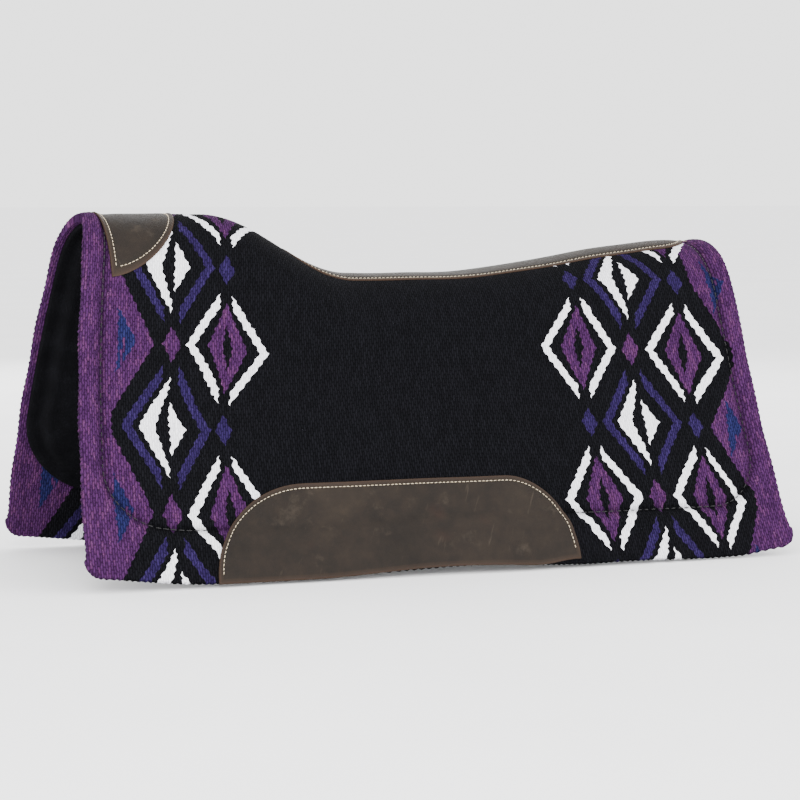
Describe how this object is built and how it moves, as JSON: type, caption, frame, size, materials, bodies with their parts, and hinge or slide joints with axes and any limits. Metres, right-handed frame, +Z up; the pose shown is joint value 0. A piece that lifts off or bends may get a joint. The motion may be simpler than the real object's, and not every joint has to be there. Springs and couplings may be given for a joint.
{
  "type": "saddle pad",
  "caption": "Contoured Western saddle pad: woven wool top over a felt core and lining, leather at the withers, spine and both flaps; the flaps fold out and in.",
  "frame": {"origin": "middle of the pad's footprint, on the surface that its lower edges stand on", "axes": "+X from the withers end to the rear, +Y to the right flap, +Z up; the left flap, which a rider sees from the horse's near side, is on -Y"},
  "size_m": [0.8114, 0.3838, 0.3849],
  "materials": {
    "woven_wool": "matte",
    "felt_core": "matte",
    "felt_lining": "matte",
    "oiled_leather": "satin",
    "cream_thread": "matte",
    "black_thread": "matte"
  },
  "bodies": {
    "ridge": {"blanket_ridge": "woven_wool", "core_ridge": "felt_core", "lining_ridge": "felt_lining", "wither_leather": "oiled_leather", "spine_leather": "oiled_leather", "wither_thread_front": "cream_thread", "wither_thread_rear": "cream_thread", "spine_thread_left": "cream_thread", "spine_thread_right": "cream_thread"},
    "left_flap": {"blanket_left": "woven_wool", "core_left": "felt_core", "lining_left": "felt_lining", "wear_leather_left": "oiled_leather", "wear_thread_left": "cream_thread", "quilting_thread_front_left": "black_thread", "quilting_thread_rear_left": "black_thread"},
    "right_flap": {"blanket_right": "woven_wool", "core_right": "felt_core", "lining_right": "felt_lining", "wear_leather_right": "oiled_leather", "wear_thread_right": "cream_thread", "quilting_thread_front_right": "black_thread", "quilting_thread_rear_right": "black_thread"}
  },
  "joints": [
    {"name": "left_flap_fold", "type": "hinge", "parent": "ridge", "child": "left_flap", "pos_m": [0, -0.10846, 0.22739], "axis": [-1, 0, 0], "range_deg": [-15, 40]},
    {"name": "right_flap_fold", "type": "hinge", "parent": "ridge", "child": "right_flap", "pos_m": [0, 0.10846, 0.22739], "axis": [1, 0, 0], "range_deg": [-15, 40]}
  ]
}
